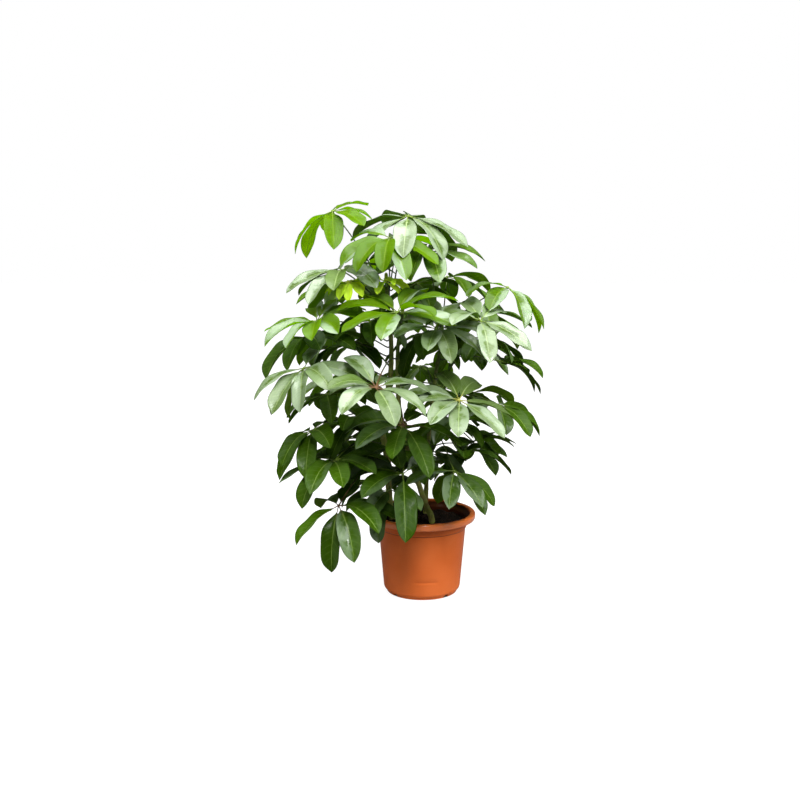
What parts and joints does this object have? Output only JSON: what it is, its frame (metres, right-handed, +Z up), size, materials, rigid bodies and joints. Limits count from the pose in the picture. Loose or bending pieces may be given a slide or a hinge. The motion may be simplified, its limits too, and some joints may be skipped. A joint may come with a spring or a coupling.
{
  "type": "potted umbrella plant",
  "caption": "Bushy umbrella plant with whorled oval leaflets on long stalks, on woody stems in a round terracotta-coloured plastic nursery pot filled with dark soil.",
  "frame": {"origin": "centre of the flat underside of the pot, which is the surface that the pot stands on", "axes": "+Z up along the middle line of the pot, -Y towards the viewer of the picture, +X to the right"},
  "size_m": [0.6841, 0.7941, 0.9797],
  "materials": {
    "pot": "satin",
    "soil": "matte",
    "stem": "matte",
    "leaf": "satin",
    "young_leaf": "satin"
  },
  "bodies": {
    "root": {"pot": "pot", "soil": "soil", "stem_left": "stem", "stem_front": "stem", "stem_right": "stem", "leaf_centre_front": "leaf", "leaf_right_front_low": "leaf", "leaf_left_front": "leaf", "leaf_mid": "leaf", "leaf_right_front": "leaf", "leaf_left_mid": "leaf", "leaf_top_centre": "leaf", "leaf_top_left": "leaf", "leaf_right_top": "leaf", "leaf_low_left_front": "leaf", "leaf_low_left_2": "leaf", "leaf_low_left_1": "leaf", "leaf_centre_low": "leaf", "leaf_pot_front": "leaf", "leaf_right_low": "leaf", "leaf_right_mid": "leaf", "leaf_upper_right": "leaf", "leaf_upper_mid": "leaf", "leaf_left_upper": "leaf", "leaf_young_left": "young_leaf", "leaf_young_mid": "young_leaf", "leaf_right_low_back": "leaf", "leaf_right_far": "leaf", "leaf_left_dark": "leaf", "leaf_low_left_dark": "leaf", "leaf_pot_left": "leaf", "leaf_right_low_2": "leaf", "leaf_right_low_3": "leaf", "leaf_inner_top": "leaf", "leaf_inner_right": "leaf", "leaf_inner_left": "leaf", "leaf_inner_left_high": "leaf", "leaf_inner_mid": "leaf", "leaf_inner_front": "leaf", "leaf_inner_low_right": "leaf", "leaf_inner_low": "leaf", "leaf_inner_low_left": "leaf", "leaf_inner_low_mid": "leaf", "leaf_inner_high_right": "leaf", "leaf_inner_pot": "leaf", "leaf_back_top": "leaf", "leaf_back_upper_left": "leaf", "leaf_back_upper_right": "leaf", "leaf_back_right_high": "leaf", "leaf_back_mid_left": "leaf", "leaf_back_mid": "leaf", "leaf_back_mid_right": "leaf", "leaf_back_centre": "leaf", "leaf_back_left": "leaf", "leaf_back_right": "leaf", "leaf_back_low_left": "leaf", "leaf_back_low": "leaf", "leaf_back_low_right": "leaf", "leaf_back_pot_left": "leaf"}
  },
  "joints": []
}
